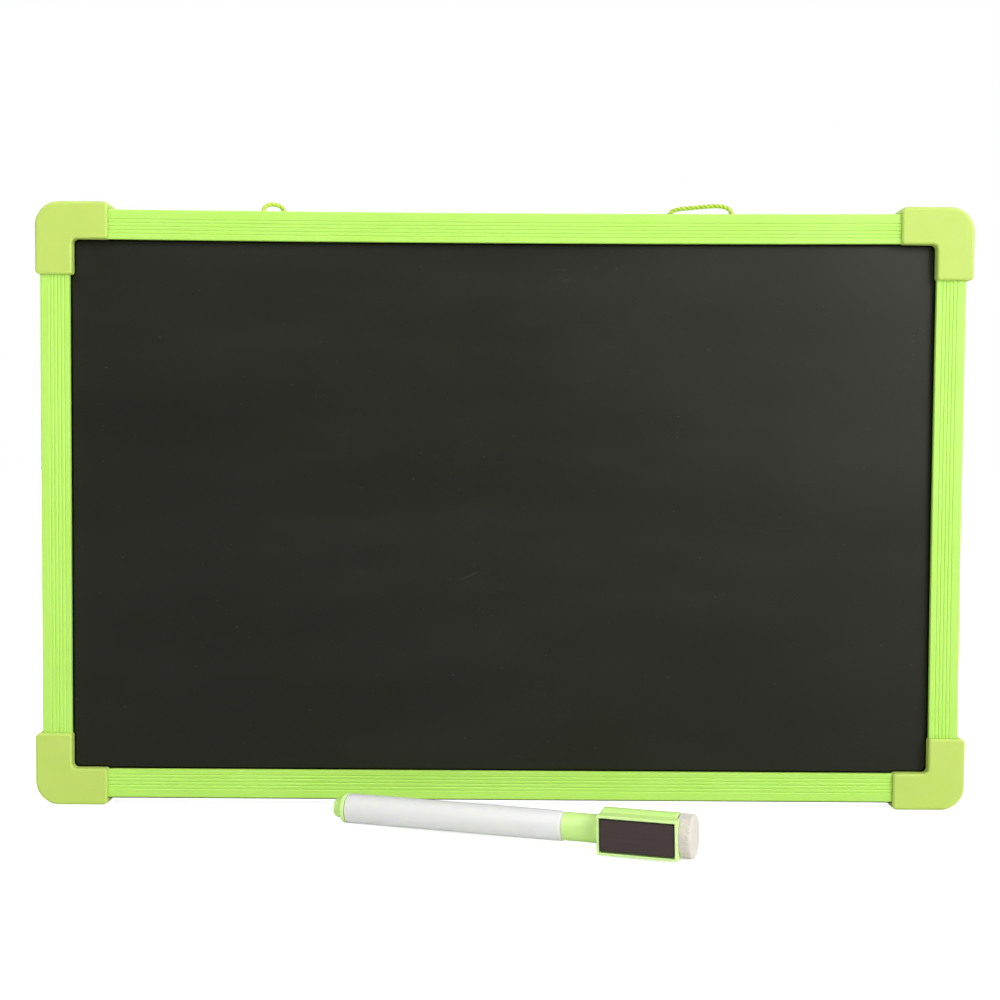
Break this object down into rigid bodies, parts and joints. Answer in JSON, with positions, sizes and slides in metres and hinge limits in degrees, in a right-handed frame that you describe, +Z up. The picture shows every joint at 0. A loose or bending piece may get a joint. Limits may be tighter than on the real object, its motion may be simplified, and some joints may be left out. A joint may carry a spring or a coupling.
{
  "type": "hanging chalkboard with magnetic marker",
  "caption": "Small double-sided hanging menu board, chalk face and dry-erase face in a ribbed plastic frame with corner caps and a cord, plus a magnetic marker with eraser cap.",
  "frame": {"origin": "on the floor, at the centre of the footprint of the standing board and the marker that lies in front of it", "axes": "+Z up, +X along the board's width to the reader's right, the chalk face looks along -Y"},
  "size_m": [0.31, 0.0761, 0.2016],
  "materials": {
    "rail_plastic": "satin extruded, lime green",
    "cap_plastic": "fine moulded texture, yellow-green",
    "chalk_coat": "matt chalk paint on thin steel",
    "dry_erase_coat": "gloss white lacquer on thin steel",
    "hardboard": "pressed fibreboard",
    "cord_fibre": "twisted three-strand cord",
    "marker_white": "satin moulded white",
    "marker_lime": "satin moulded lime green",
    "ink_fibre": "ink-soaked polyester fibre",
    "nib_fibre": "pressed fibre, inked",
    "seal_plastic": "soft translucent polyethylene",
    "magnet_rubber": "matt brown ferrite rubber sheet",
    "eraser_felt": "pressed wool felt"
  },
  "bodies": {
    "board": {"top_rail": "rail_plastic", "bottom_rail": "rail_plastic", "left_rail": "rail_plastic", "right_rail": "rail_plastic", "corner_cap_top_left": "cap_plastic", "corner_cap_top_right": "cap_plastic", "corner_cap_bottom_left": "cap_plastic", "corner_cap_bottom_right": "cap_plastic", "chalk_sheet": "chalk_coat", "core_board": "hardboard", "dry_erase_sheet": "dry_erase_coat", "hanging_cord": "cord_fibre", "cord_knot_left": "cord_fibre", "cord_knot_right": "cord_fibre"},
    "marker": {"marker_barrel": "marker_white", "tail_plug": "marker_lime", "ink_reservoir": "ink_fibre", "nib_holder": "marker_white", "nib": "nib_fibre"},
    "marker_cap": {"cap_shell": "marker_lime", "cap_seal": "seal_plastic", "magnet": "magnet_rubber", "eraser_felt": "eraser_felt"}
  },
  "joints": [
    {"name": "marker_lift", "type": "slide", "parent": "board", "child": "marker", "axis": [0, 0, 1], "range_m": [0, 0.12]},
    {"name": "cap_pull", "type": "slide", "parent": "marker", "child": "marker_cap", "axis": [0.9358, -0.3518, 0.0226], "range_m": [0, 0.045]}
  ]
}
